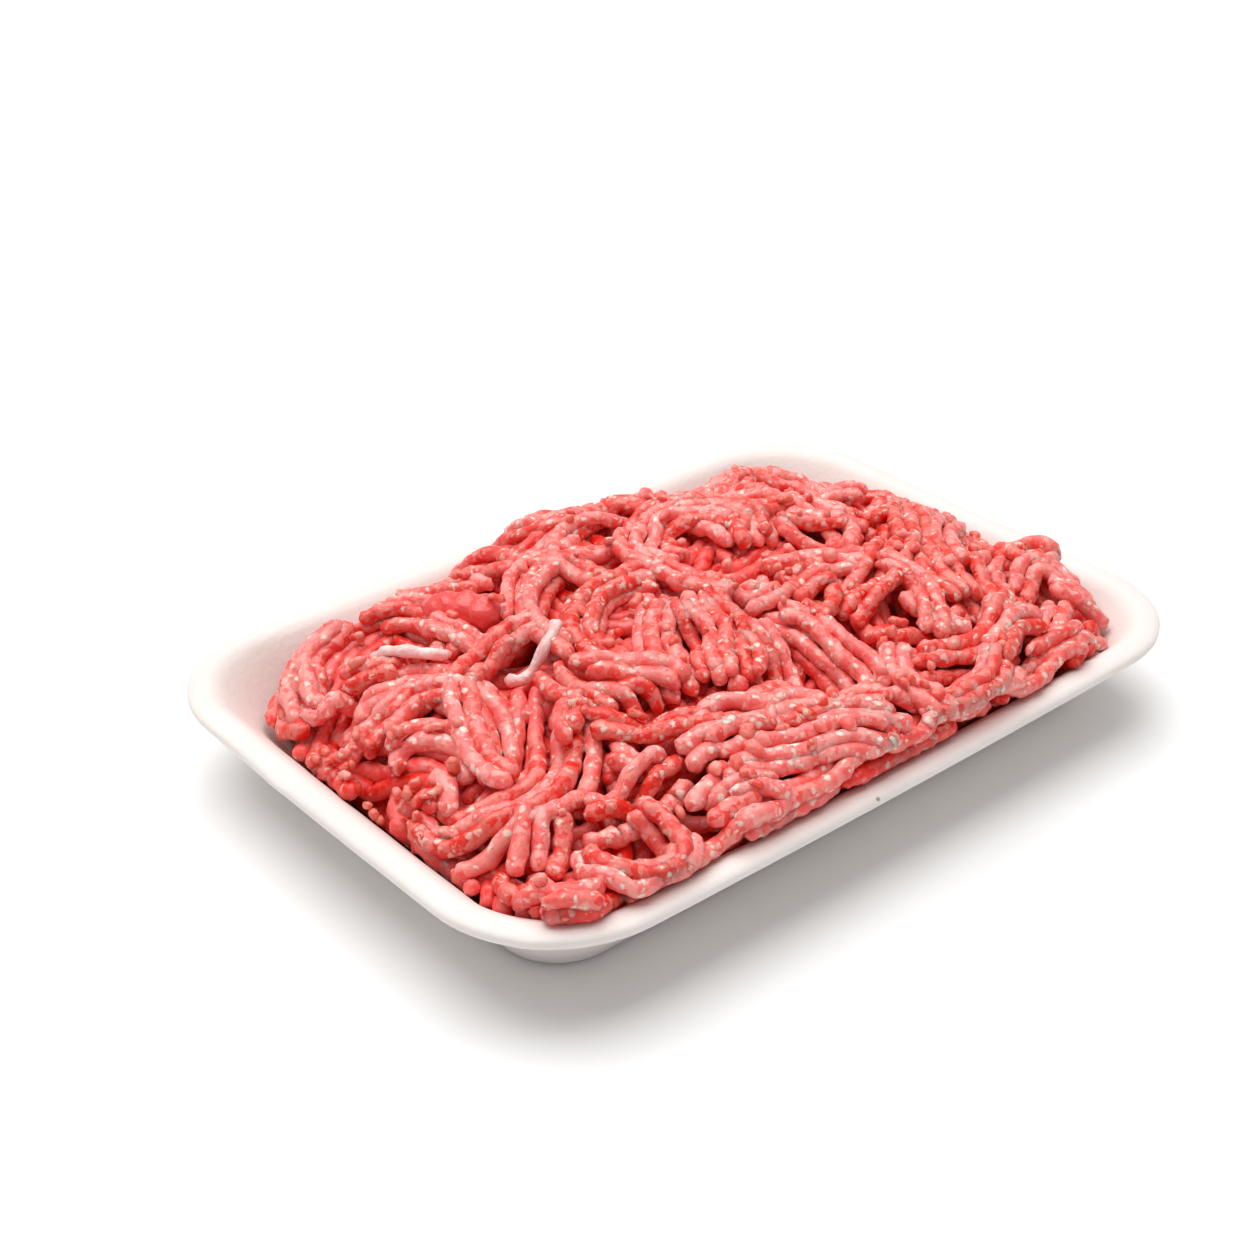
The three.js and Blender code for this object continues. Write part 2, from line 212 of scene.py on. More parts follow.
def lump_noise(points, size, seed):
    """Smooth noise from -1 to 1: random numbers on a grid of cubes, eased between the corners of each
    cube."""
    table = np.random.default_rng(seed).uniform(-1, 1, (NOISE_CELLS, NOISE_CELLS, NOISE_CELLS))
    place = np.asarray(points, float) / size
    low = np.floor(place).astype(int)
    part = place - low
    part = part * part * (3 - 2 * part)
    total = np.zeros(place.shape[:-1])
    for steps in np.ndindex(2, 2, 2):
        weight = np.ones(place.shape[:-1])
        for axis, step in enumerate(steps):
            weight = weight * (part[..., axis] if step else 1 - part[..., axis])
        cell = (low + steps) % NOISE_CELLS
        total += weight * table[cell[..., 0], cell[..., 1], cell[..., 2]]
    return total


def layered_noise(points, layers):
    """The sum of several noises, each given as its depth, the size of its lumps and its seed."""
    return sum(depth * lump_noise(points, size, seed) for depth, size, seed in layers)


def tray_surface():
    """The section's rings from the middle of the underside, round the lip, to the middle of the floor."""
    section = smooth_path(UNDERSIDE + LIP + INSIDE, POINTS_PER_SPAN)
    section[:, 0] = np.maximum(section[:, 0], LEAST_SECTION_INSET)
    section[:, 1] = np.maximum(section[:, 1], 0)
    flat = np.linspace(0, 1, RINGS_IN_FLOOR, endpoint=False)[1:]
    under = outline(section[:1, 0]) * flat[:, None, None]
    floor = outline(section[-1:, 0]) * flat[::-1, None, None]
    plan = np.concatenate([under, outline(section[:, 0]), floor])
    height = np.concatenate([np.zeros(len(flat)), section[:, 1], np.full(len(flat), FLOOR_THICKNESS)])
    height = np.broadcast_to(height[:, None], plan.shape[:-1])
    return bow_and_sag(plan[..., 0], plan[..., 1], height)


def make_tray(material):
    """The tray's rings with their waves and dents, closed by a fan at each pole. A wave draws a point
    in on both axes and down by DOWNWARD_SHARE of that. A dent lowers the points round its centre by a
    bell curve."""
    rings = tray_surface()
    count, around = rings.shape[:2]
    points = rings.reshape(-1, 3)
    waves_in = np.abs(layered_noise(points, FOAM_WAVES))[:, None]
    inward = -np.sign(points) * [1, 1, 0] * waves_in - [0, 0, DOWNWARD_SHARE] * waves_in
    points = points + inward * np.clip(points[:, 2] / FULL_WAVES_FROM, 0, 1)[:, None]
    for centre, width, depth in DENTS:
        away = np.linalg.norm((points - centre) / width, axis=-1)
        points[:, 2] -= depth * np.exp(-(away**2))
    poles = [[0, 0, 0], [0, 0, FLOOR_THICKNESS]]
    print("tray", count, "rings of", around, "points")
    return new_piece("foam_tray", np.concatenate([points, poles]), closed_faces(count, around), material)


print("the foam's waves are at most", sum(depth for depth, _, _ in FOAM_WAVES), "mm deep")

# %% [markdown]
# Mince leaves the mincer as round strands, side by side, that fold and coil as they fall. Modelling each
# by hand would take days, and a particle solver would not put the big swirls where this heap has them. So
# each bundle is an arc seen from above, laid by a simple rule on what lies there already. First comes the
# finished heap's height, as a formula.

# %% Sizes of the heap
HEAP_HALF_LENGTH = 101.0
HEAP_HALF_WIDTH = 70.0
# Heights: at the heap's edge, along its ridge, and what its crown adds to the ridge.
HEAP_EDGE = 16.0
HEAP_RIDGE = 35.0
HEAP_CROWN = 7.0
CROWN_AT = 15.0
CROWN_SPREAD = 55.0
# Corners that the heap stops short of: side along x and y, and where its rounding starts along x and y.
FREE_CORNERS = [(-1, 1, 45, 15), (1, 1, 50, 20), (1, -1, 54, 23)]
CORNER_ROUNDING = 46.0
# Past the walls the height falls on, by no more than these shares of its rise.
LEAST_SHARE = -1.0
LEAST_CORNER_SHARE = -1.2
# Hills and hollows of the heap: centre x and y, reach along x and y, and rise.
HILLS = [
    (75, 35, 30, 22, -4),
    (-79, 46, 9, 9, 6),
    (-66, 58, 7, 6, 5),
    (-37, 57, 8, 9, -8),
    (-21, 56, 6, 7, 6),
    (-3, 58, 8, 7, 9),
    (27, 52, 5, 5, 3),
    (41, 41, 8, 8, -8),
    (56, 33, 4, 4, 6),
    (59, 21, 4, 5, -8),
    (71, 17, 5, 5, 4),
    (80, -23, 6, 5, -4),
    (90, -32, 4, 4, 9),
    (97, -43, 4, 6, -6),
    (-73, -48, 5, 5, -5),
    (-90, -32, 5, 6, -4),
    (0, -67, 75, 7, 9.5),
    (-97, -15, 7, 40, 9.5),
    (-90, -58, 12, 10, 5),
]


def heap_height(x, y):
    """The height of the finished heap: a long crown that falls to the walls by the fifth power along
    the tray and the fourth power across it, that stops short of three of the corners, and that has
    hills and hollows, each a bell curve."""
    share = np.maximum(1 - (np.abs(x) / HEAP_HALF_LENGTH) ** 5, LEAST_SHARE)
    share = share * np.maximum(1 - (np.abs(y) / HEAP_HALF_WIDTH) ** 4, LEAST_SHARE)
    for sx, sy, start_x, start_y in FREE_CORNERS:
        past_x = np.maximum((sx * x - start_x) / CORNER_ROUNDING, 0)
        past_y = np.maximum((sy * y - start_y) / CORNER_ROUNDING, 0)
        share = np.minimum(share, np.maximum(1 - (past_x**2 + past_y**2) ** 2, LEAST_CORNER_SHARE))
    crown = HEAP_CROWN * np.exp(-(((x - CROWN_AT) / CROWN_SPREAD) ** 2) / 2)
    height = HEAP_EDGE + (HEAP_RIDGE + crown - HEAP_EDGE) * share
    for centre_x, centre_y, reach_x, reach_y, rise in HILLS:
        away_x = ((x - centre_x) / reach_x) ** 2
        away_y = ((y - centre_y) / reach_y) ** 2
        height = height + rise * np.exp(-away_x / 2 - away_y / 2)
    return height


print("the heap's crown is", round(float(heap_height(CROWN_AT, 0)), 1), "mm high")

# %% [markdown]
# A height map is a grid of cells over the tray that knows how high the meat in each cell comes. It starts
# as the tray's inside and a core. To lay a strand, each of its points drops as a ball until the ball
# touches the map. A physics solver would also let strands slide, but it takes hours and ends elsewhere.

# %% The height map
CELL = 0.6
CORE_DEPTH = 13.0
FAR_OUTSIDE = -60


def inset_of(x, y):
    """How far a point is in from the lip's outer edge: the signed distance to the rounded rectangle."""
    past_x = np.abs(x) - HALF_LENGTH + CORNER_RADIUS
    past_y = np.abs(y) - HALF_WIDTH + CORNER_RADIUS
    outside = np.hypot(np.maximum(past_x, 0), np.maximum(past_y, 0))
    return CORNER_RADIUS - outside - np.minimum(np.maximum(past_x, past_y), 0)


def tray_height(x, y):
    """The height of the tray's inside under a point, read from the section by the point's inset."""
    wall = np.array([[FAR_OUTSIDE, TRAY_HEIGHT]] + LIP[2:] + INSIDE, float)
    return np.interp(inset_of(x, y), wall[:, 0], wall[:, 1])


MAP_X = np.arange(-HALF_LENGTH, HALF_LENGTH + CELL, CELL)
MAP_Y = np.arange(-HALF_WIDTH, HALF_WIDTH + CELL, CELL)
MAP_GRID = np.meshgrid(MAP_X, MAP_Y)
tray_map = tray_height(*MAP_GRID)
height_map = np.maximum(heap_height(*MAP_GRID) - CORE_DEPTH, tray_map)
print("height map", len(MAP_X), "by", len(MAP_Y), "cells")

# %% [markdown]
# A strand of mince is soft: it presses into what it lies on, and it bridges a narrow gap instead of
# following it down. Dropping each point alone would make it jump, so the heights are eased along the
# strand, and a point that would lie over the finished heap sinks in.

# %% The rule that lays a strand
# Shares of the radius: how deep a strand presses in, how far easing may lower it, and room for its lumps.
PRESSED = 0.25
MOST_EASED = 0.35
ROOM_FOR_LUMPS = 1.3
STIFFNESS = 3
HEAPED = 0.45
HEAP_TOP = 43.3
LIP_CLEARANCE = 0.35


def disc(radius):
    """The map cells under a ball of this radius: their steps in x and y, and the ball's rise over
    each."""
    reach = int(math.ceil(radius / CELL))
    steps = np.arange(-reach, reach + 1)
    sx, sy = (grid.ravel() for grid in np.meshgrid(steps, steps))
    away = np.hypot(sx, sy) * CELL
    near = away < radius
    return sx[near], sy[near], np.sqrt(radius**2 - away[near] ** 2)


def cells_under(x, y, sx, sy):
    """Row and column numbers of the cells at each point plus each step, kept on the map."""
    columns = np.rint((x - MAP_X[0]) / CELL).astype(int)[:, None] + sx
    rows = np.rint((y - MAP_Y[0]) / CELL).astype(int)[:, None] + sy
    return np.clip(rows, 0, len(MAP_Y) - 1), np.clip(columns, 0, len(MAP_X) - 1)


def blurred(values, reach):
    """A running mean over reach points each way, with the ends repeated."""
    padded = np.pad(values, reach, mode="edge")
    return np.convolve(padded, np.full(2 * reach + 1, 1 / (2 * reach + 1)), mode="valid")


def lay_strand(plan, radius, proud):
    """Rests a strand on the map: its centre is as low as a ball of its radius can sit at each point,
    less the share of the radius by which it presses in, eased along the strand by two running means.
    Above the heap's finished height and proud it keeps only the share HEAPED of the rest. Nothing
    rises over HEAP_TOP, and nothing goes into the tray."""
    x, y = plan[:, 0], plan[:, 1]
    sx, sy, rise = disc(radius)
    rows, columns = cells_under(x, y, sx, sy)
    rest = (height_map[rows, columns] + rise).max(axis=1) - PRESSED * radius
    eased = np.maximum(blurred(rest, STIFFNESS), rest - MOST_EASED * radius)
    eased = blurred(eased, STIFFNESS - 1)
    most = heap_height(x, y) + proud - radius
    eased = np.where(eased > most, most + HEAPED * (eased - most), eased)
    eased = np.minimum(eased, HEAP_TOP - ROOM_FOR_LUMPS * radius)
    eased = np.maximum(eased, (tray_map[rows, columns] + rise).max(axis=1) + LIP_CLEARANCE)
    np.maximum.at(height_map, (rows, columns), eased[:, None] + rise)
    return np.column_stack([x, y, eased])


print("a ball of 2 mm covers", len(disc(2.0)[0]), "cells")

# %% [markdown]
# Seen from above, strands that fold as they fall lie in arcs, side by side, and wander a little together
# and a little each on its own. Drawing every strand by hand would take too long, so one helper makes an
# arc with its wander, and another keeps it inside the tray.

# %% Arcs in plan
STEP = 1.0
# The waves of a wander: their share of its size, their length and their phase.
WAVE_SHARES = (0.3, 0.8)
WAVE_LENGTHS = (15, 36)
PHASES = (0, 6.3)
OWN_WANDER = 0.3
TIGHTEST_RADIUS = 2.2
LEAST_MEAN_RADIUS = 3
FEWEST_POINTS = 6
LEAST_INSET = 5.5
LEAST_COVER = 1.5
rng = np.random.default_rng(20)


def waves(count, amplitude):
    """A slow sideways wander of mean size amplitude: two sine waves of random size, length and phase."""
    distance = np.arange(count) * STEP
    wander = np.zeros(count)
    for _ in range(2):
        size = amplitude * rng.uniform(*WAVE_SHARES)
        length = rng.uniform(*WAVE_LENGTHS)
        wander += size * np.sin(2 * math.pi * distance / length + rng.uniform(*PHASES))
    return wander


def arc_plan(centre, radii, angles, offset, shared):
    """Points a step apart along an arc whose radius changes evenly from start to end, moved aside by
    offset, by the wander that the bundle shares and by a smaller one of its own."""
    start, end = np.radians(angles)
    length = abs(end - start) * max(sum(radii) / 2 + offset, LEAST_MEAN_RADIUS)
    count = max(int(length / STEP), FEWEST_POINTS)
    along = np.linspace(0, 1, count)
    angle = start + (end - start) * along
    aside = np.interp(along * abs(end - start) * sum(radii) / 2, np.arange(len(shared)) * STEP, shared)
    radius = np.maximum(radii[0] + (radii[1] - radii[0]) * along + offset, TIGHTEST_RADIUS)
    radius = radius + aside + waves(count, OWN_WANDER)
    return np.column_stack([centre[0] + radius * np.cos(angle), centre[1] + radius * np.sin(angle)])


def kept_inside(plan):
    """Points that would pass over the lip are moved straight in until they are LEAST_INSET from its
    edge. Then only the longest run of points stays that the finished heap stands over."""
    short = np.maximum(LEAST_INSET - inset_of(plan[:, 0], plan[:, 1]), 0)
    half = np.array([HALF_LENGTH, HALF_WIDTH]) - CORNER_RADIUS
    outward = np.sign(plan) * np.maximum(np.abs(plan) - half, 0)
    size = np.linalg.norm(outward, axis=1, keepdims=True)
    outward = np.divide(outward, size, out=np.zeros_like(outward), where=size > 0)
    plan = plan - outward * short[:, None]
    x, y = plan[:, 0], plan[:, 1]
    covered = heap_height(x, y) > tray_height(x, y) + LEAST_COVER
    edges = np.flatnonzero(np.diff(np.concatenate([[0], covered, [0]])))
    starts, ends = edges[::2], edges[1::2]
    if len(starts) == 0:
        return plan[:0]
    longest = np.argmax(ends - starts)
    return plan[starts[longest]:ends[longest]]


print("strands stay", LEAST_INSET, "mm in from the lip's edge")

# %% [markdown]
# The big bundles give this heap its pattern: the coil at the left, the loops over the middle, the sheaf
# along the front. Random arcs would make some heap, but not this one. So each bundle is read off the
# photo as an arc seen from above, and the table lists them in the order in which they lie, lowest first.

# %% The big bundles
STRAND_RADIUS = 1.95
PITCH = 3.85
# Each row: strands side by side, layers, centre x and y, radius at start and end, angle at start and end.
BUNDLES = [
    (2, 1, -10, 2934.7, 3000, 3000, -91.3, -88.2),
    (2, 1, 402.8, -20, 500, 500, 175.5, 183),
    (2, 1, -75.7, -43.7, 21.8, 21.8, 188, 262),
    (3, 1, -40, 70, 28, 28, 195, 300),
    (3, 1, -2, 66, 24, 22, 190, 330),
    (3, 1, 40, 64, 26, 26, 200, 335),
    (3, 1, 60, 22, 26, 30, 70, -50),
    (3, 1, 34, 2, 26, 26, 115, 10),
    (3, 1, 86, -2, 12, 13, 80, 250),
    (3, 1, 70, 8, 16, 18, 60, -60),
    (4, 2, -64, 28, 24, 23, 80, 190),
    (3, 1, -83, 8, 13, 22, 102, -36),
    (2, 1, -64, 28, 26, 25, 65, -29),
    (2, 1, -64, 28, 14, 12, 90, -60),
    (2, 1, -83, -1, 10, 23, 120, -63),
    (3, 2, -12, -11, 26, 19, -150, -295),
    (2, 1, -5, -11, 53, 54, 110, 64),
    (2, 1, 1, 10, 42, 24, 178, 111),
    (2, 2, 1, 7, 45, 14, 201, 85),
    (4, 1, -78, -16, 24, 12, 0, -194),
    (2, 1, -84, -4, 3, 16, 123, -83),
    (3, 1, -98, -8, 14, 13, -60, -10),
    (3, 1, 49, 17, 26, 22, 200, 70),
    (2, 1, 35, 33, 14, 15, 150, 20),
    (2, 1, 58, 28, 17, 15, 160, -60),
    (3, 2, 39, 0, 14, 15, 180, -30),
    (4, 1, 15, 14, 13, 14, 215, -20),
    (2, 1, 62, 8, 13, 13, 220, 20),
    (3, 1, 14, -38, 30, 31, 85, 30),
    (3, 2, 17, -30, 46, 38, -174, -229),
    (4, 2, 125, -66, 83, 81, 123, 168),
    (3, 1, 18, 15, 47, 44, -33, -91),
    (2, 1, 70, -38, 11, 13, 170, -60),
    (3, 1, 60, -30, 26, 28, -40, -110),
    (4, 2, -50, 0, 46, 45, -59, -4),
    (3, 1, -35, -23, 29, 30, -54, -1),
    (2, 1, 33, -8, 37, 36, -119, -76),
    (3, 2, -32, -40, 40, 39, 31, -28),
    (1, 1, 13, -55, 5, 7, 101, -166),
    (3, 2, 30, -5, 52, 50, -50, -109),
    (3, 2, 21, -27, 40, 41, -57, -114),
    (2, 1, 52, -78, 22, 22, 140, 60),
    (3, 1, -51, -34, 19, 18, 80, -3),
    (2, 1, -52, -28, 5, 9, 190, -69),
    (2, 1, -39, -35, 16, 15, 174, 229),
    (3, 1, -53, -15, 34, 32, -122, -68),
    (3, 1, -70, -52, 18, 18, 143, 194),
    (3, 1, -66, -59, 20, 21, 104, 158),
    (2, 2, -67, -58, 10, 9, 60, -250),
    (2, 1, -42, -91, 27, 26, 113, 71),
    (3, 1, -34, -74, 21, 10, 139, 68),
    (3, 2, -36, -102, 59, 54, 97, 45),
    (4, 2, -43, -130, 78, 76, 92, 54),
    (1, 2, 89, -33, 5, 6, 20, 330),
    (2, 1, 78, -42, 5, 6, 200, -60),
]
print(len(BUNDLES), "big bundles")

# %% [markdown]
# A bundle is a few strands that left the mincer next to each other. Its lanes lie a little closer than
# they are wide, as soft strands do, and a second layer rests in the grooves of the first. Copies of one
# strand would show at once, so each lane has its own offset, ends and thickness.

# %% Lay a bundle
# The shared wander is worked out for this length, the longest that a bundle gets.
LONGEST = 240.0
SHARED_WANDER = 0.9
LANE_JITTER = 0.3
# How much an end is cut short: at most for each lane, and more for each layer.
LANE_CUT = 5
LAYER_CUT = 3
LEAST_CUT_RADIUS = 8
THICKNESSES = (0.9, 1.08)


def lay_bundle(row, store, proud):
    """Lays the lanes of a bundle layer by layer. Each layer has one lane fewer, lies in the grooves
    below and is cut a little shorter."""
    lanes, layers, cx, cy, start_radius, end_radius, start_angle, end_angle = row
    turn = math.copysign(1, end_angle - start_angle)
    shared = waves(int(LONGEST / STEP), SHARED_WANDER)
    for layer in range(layers):
        for lane in range(max(lanes - layer, 1)):
            place = (lane - (lanes - layer - 1) / 2) * PITCH
            offset = place + rng.uniform(-LANE_JITTER, LANE_JITTER)
            cut = rng.uniform(0, LANE_CUT, 2) + LAYER_CUT * layer
            cut = np.degrees(cut / np.maximum([start_radius, end_radius], LEAST_CUT_RADIUS))
            angles = (start_angle + turn * cut[0], end_angle - turn * cut[1])
            plan = kept_inside(arc_plan((cx, cy), (start_radius, end_radius), angles, offset, shared))
            radius = STRAND_RADIUS * rng.uniform(*THICKNESSES)
            if len(plan) >= FEWEST_POINTS:
                store.append((lay_strand(plan, radius, proud), radius))


print("lanes of", 2 * STRAND_RADIUS, "mm lie", PITCH, "mm apart")

# %% [markdown]
# Between the big swirls the mince has no plan. A particle system would scatter short arcs evenly and pile
# them on the crown, but falling strands roll into the hollows. So each place is drawn with a chance that
# grows with how much is missing there.

# %% Lay random bundles
RANDOM_INSET = 12.0
BEND_CHANGES = (0.8, 1.2)


def lowest_place(depth_under):
    """A map place below the finished heap, drawn at random with a chance that grows with its depth."""
    target = heap_height(*MAP_GRID) - depth_under
    inside = (inset_of(*MAP_GRID) > RANDOM_INSET) & (target > tray_height(*MAP_GRID))
    lack = np.where(inside, np.maximum(target - height_map, 0), 0)
    total = lack.sum()
    if total <= 0:
        return None
    pick = np.searchsorted(np.cumsum(lack.ravel()), rng.uniform(0, total))
    return MAP_GRID[0].ravel()[pick], MAP_GRID[1].ravel()[pick]


def lay_random_bundles(count, depth_under, lanes, radius_range, length_range, store, proud):
    """Bundles of random arcs whose middle lies over one of the lowest places of the heap."""
    for _ in range(count):
        place = lowest_place(depth_under)
        if place is None:
            return
        bend = rng.uniform(*radius_range)
        middle = rng.uniform(0, 360)
        half = math.degrees(rng.uniform(*length_range) / 2 / bend)
        cx = place[0] - bend * math.cos(math.radians(middle))
        cy = place[1] - bend * math.sin(math.radians(middle))
        end_bend = bend * rng.uniform(*BEND_CHANGES)
        lay_bundle((lanes, 1, cx, cy, bend, end_bend, middle - half, middle + half), store, proud)


print("random bundles start", RANDOM_INSET, "mm or more from the lip's edge")

# %% [markdown]
# The strands are laid in three passes. First short random bundles raise the core to a few millimetres
# under the finished height. Then come the big bundles. Last, broken ends fill the low places that are
# left, as they do where a strand snaps in falling.

# %% Lay every strand
# How far the big bundles may rise over the finished heap before they sink in.
BUNDLE_PROUD = 1.2
under_strands = []
bundle_strands = []
broken_strands = []

lay_random_bundles(
    count=70, depth_under=9, lanes=3, radius_range=(12, 60), length_range=(30, 80),
    store=under_strands, proud=-6.0,
)
for bundle in BUNDLES:
    lay_bundle(bundle, bundle_strands, BUNDLE_PROUD)
lay_random_bundles(
    count=46, depth_under=4, lanes=2, radius_range=(8, 40), length_range=(10, 36),
    store=broken_strands, proud=0,
)
print(len(under_strands), "under,", len(bundle_strands), "in bundles,", len(broken_strands), "broken")

# %% [markdown]
# Mince is not all strands. Crumbs lie all over it, thickest in a soft patch at the left end. Two pale
# cords of sinew curl over the left half, and beside them one lump of lean came through whole. Crumbs
# could be bumps in a material, but close up they stand off the strands. So all of these are meshes, laid
# last by the same rule.

# %% Crumbs, sinew and the lump
CRUMB_PROUD = 3.0
CRUMB_POINTS = 6
CRUMB_HALF_LENGTHS = (0.7, 2.4)
CRUMB_RADII = (0.8, 1.6)
WIDEST_STEP = 5.0
# Centre x and y, spread along x and y, and number of crumbs thrown.
CRUMB_PATCHES = [
    (-92, -2, 4.5, 9, 240),
    (-15, -58, 40, 4, 40),
    (0, 0, 45, 28, 140),
]
SINEW_RADIUS = 1.35
# Centre x and y, radius at start and end, angle at start and end.
SINEWS = [(-45, 32, 23, 21, 185, 234), (-46, 6, 8, 9, -147, -24)]
LUMP_RADIUS = 4.6
LUMP_PATH = [[-50, 36], [-45, 28], [-41, 18]]
LUMP_POINTS_PER_SPAN = 10
LUMP_PROUD = -1.2
crumbs = []
sinews = []


def lay_crumbs(centre_x, centre_y, spread_x, spread_y, count):
    """Crumbs a few millimetres long, thrown round a centre by a normal spread, each turned at random.
    One that would lie over a drop higher than WIDEST_STEP falls away."""
    for place in rng.normal((centre_x, centre_y), (spread_x, spread_y), (count, 2)):
        turn = rng.uniform(0, math.pi)
        along = np.linspace(-1, 1, CRUMB_POINTS)[:, None] * rng.uniform(*CRUMB_HALF_LENGTHS)
        plan = kept_inside(place + along * [math.cos(turn), math.sin(turn)])
        radius = rng.uniform(*CRUMB_RADII)
        rows, columns = cells_under(plan[:, 0], plan[:, 1], *disc(radius)[:2])
        if len(plan) == CRUMB_POINTS and np.ptp(height_map[rows, columns]) < WIDEST_STEP:
            crumbs.append((lay_strand(plan, radius, CRUMB_PROUD), radius))


lump_plan = smooth_path(LUMP_PATH, LUMP_POINTS_PER_SPAN)
lump = [(lay_strand(lump_plan, LUMP_RADIUS, LUMP_PROUD), LUMP_RADIUS)]
for sinew in SINEWS:
    arc = arc_plan(centre=sinew[:2], radii=sinew[2:4], angles=sinew[4:], offset=0, shared=np.zeros(2))
    sinews.append((lay_strand(arc, SINEW_RADIUS, CRUMB_PROUD), SINEW_RADIUS))
for patch in CRUMB_PATCHES:
    lay_crumbs(*patch)
print(len(crumbs), "crumbs and", len(sinews), "sinews")

# %% [markdown]
# So far a strand is a path and a radius. A curve with a round bevel would make it a smooth hose, but a
# real strand swells and narrows like a string of beads, is lumpy where fat and lean meet, and ends in a
# torn, rounded tip. So it is a tube of rings whose size and surface follow those rules.

# %% Strands as tubes
SIDES = 12
# Beads along a strand: their share of the radius, and their shortest and longest length.
BEADS = [(0.06, 4, 6.5), (0.05, 8, 15)]
# Lumps all over a strand: depth, size and seed.
STRAND_LUMPS = [(0.28, 2.2, 7), (0.24, 1.3, 8)]
# The rounding of an end: its length in radii, how that varies, its least size and its curve's power.
END_SHARE = 0.75
END_VARIES = (0.6, 1.8)
END_LEAST = 0.2
END_POWER = 0.6
# The torn lumps near an end: share of the radius, greatest depth, size, seed, and reach in end lengths.
TORN_SHARE = 0.5
TORN_MOST = 1
TORN_SIZE = 1.6
TORN_SEED = 9
TORN_REACH = 2.5
LEAST_LENGTH = 1e-6


def unit(vectors):
    """The vectors scaled to length 1, with a tiny least length against division by nought."""
    return vectors / np.maximum(np.linalg.norm(vectors, axis=-1, keepdims=True), LEAST_LENGTH)


def strand_tube(path, radius, seed, sides):
    """Rings round a path, each lying across it. The radius swells and narrows by two sine waves.
    Towards an end it shrinks by a parabola of the distance, raised to END_POWER. Noise then moves each
    point along its own outward direction, more so near the torn ends."""
    local = np.random.default_rng(seed)
    tangent = unit(np.gradient(path, axis=0))
    side = unit(np.cross([0, 0, 1.0], tangent))
    up = np.cross(tangent, side)
    distance = np.concatenate([[0], np.cumsum(np.linalg.norm(np.diff(path, axis=0), axis=1))])
    beads = np.zeros(len(path))
    for share, shortest, longest in BEADS:
        length = local.uniform(shortest, longest)
        beads += share * np.sin(2 * math.pi * distance / length + local.uniform(*PHASES))
    end_length = END_SHARE * radius * local.uniform(*END_VARIES)
    to_end = np.minimum(distance, distance[-1] - distance) / end_length
    ends = np.clip(1 - (1 - np.clip(to_end, 0, 1)) ** 2, END_LEAST, 1) ** END_POWER
    size = radius * (1 + beads) * ends
    angle = np.arange(sides) * 2 * math.pi / sides
    rings = path[:, None] + size[:, None, None] * (
        np.cos(angle)[:, None] * side[:, None] + np.sin(angle)[:, None] * up[:, None]
    )
    lumps = layered_noise(rings, STRAND_LUMPS)
    torn = min(TORN_SHARE * radius, TORN_MOST) * lump_noise(rings, TORN_SIZE, TORN_SEED)
    torn = torn * (1 - np.clip(to_end / TORN_REACH, 0, 1))[:, None]
    return rings + unit(rings - path[:, None]) * ((lumps + torn) * ends[:, None])[..., None]


test_path = smooth_path([[0, 0, 0], [10, 0, 0], [20, 5, 0]], POINTS_PER_SPAN)
print("a short strand has rings and points", strand_tube(test_path, STRAND_RADIUS, 0, SIDES).shape[:2])

# %% [markdown]
# Hundreds of objects would be slow to handle, so all strands of one kind are one mesh. They still must
# not look alike: each strand carries a random number, its tone, on all of its points, and the material
# makes it a little paler or deeper by it.

# %% All strands of a kind as one mesh
TONE_SEED = 999


def strands_mesh(name, strands, material, sides=SIDES):
    """The tubes of all strands in one mesh, each closed at both ends and with its own random tone."""
    points, faces, tones = [], [], []
    first = 0
    for number, (path, radius) in enumerate(strands):
        rings = strand_tube(path, radius, number, sides)
        count = len(rings)
        points += [rings.reshape(-1, 3), path[[0, -1]]]
        faces.append(closed_faces(count, sides, first))
        tone = np.random.default_rng(number + TONE_SEED).uniform()
        tones.append(np.full(count * sides + 2, tone))
        first += count * sides + 2
    piece = new_piece(name, np.concatenate(points), np.concatenate(faces), material)
    set_attribute(piece, "tone", np.concatenate(tones))
    print(name, len(strands), "strands,", len(piece.data.polygons), "triangles")
    return piece


print("strands have", SIDES, "sides")

# %% [markdown]
# Between the lowest strands one looks down into the heap, and nothing may show there but more meat.
# Strands all the way down would cost hundreds of thousands of triangles that nobody sees. A single closed
# lump, the heap lowered by its strand layers, fills it.

# %% The core under the strands
CORE_RINGS = 60
CORE_EDGE_INSET = 8.0
CORE_LEAST_GAP = 0.6
# Shares of the way to the edge at which the core's reach is looked for.
CORE_SHARES = np.linspace(0.3, 1, 160)[:, None, None]
# The uneven top: depth, size and seed, and the thickness from which it has them.
CORE_LUMPS = [(0.9, 5.0, 12)]
CORE_LUMPS_FROM = 2


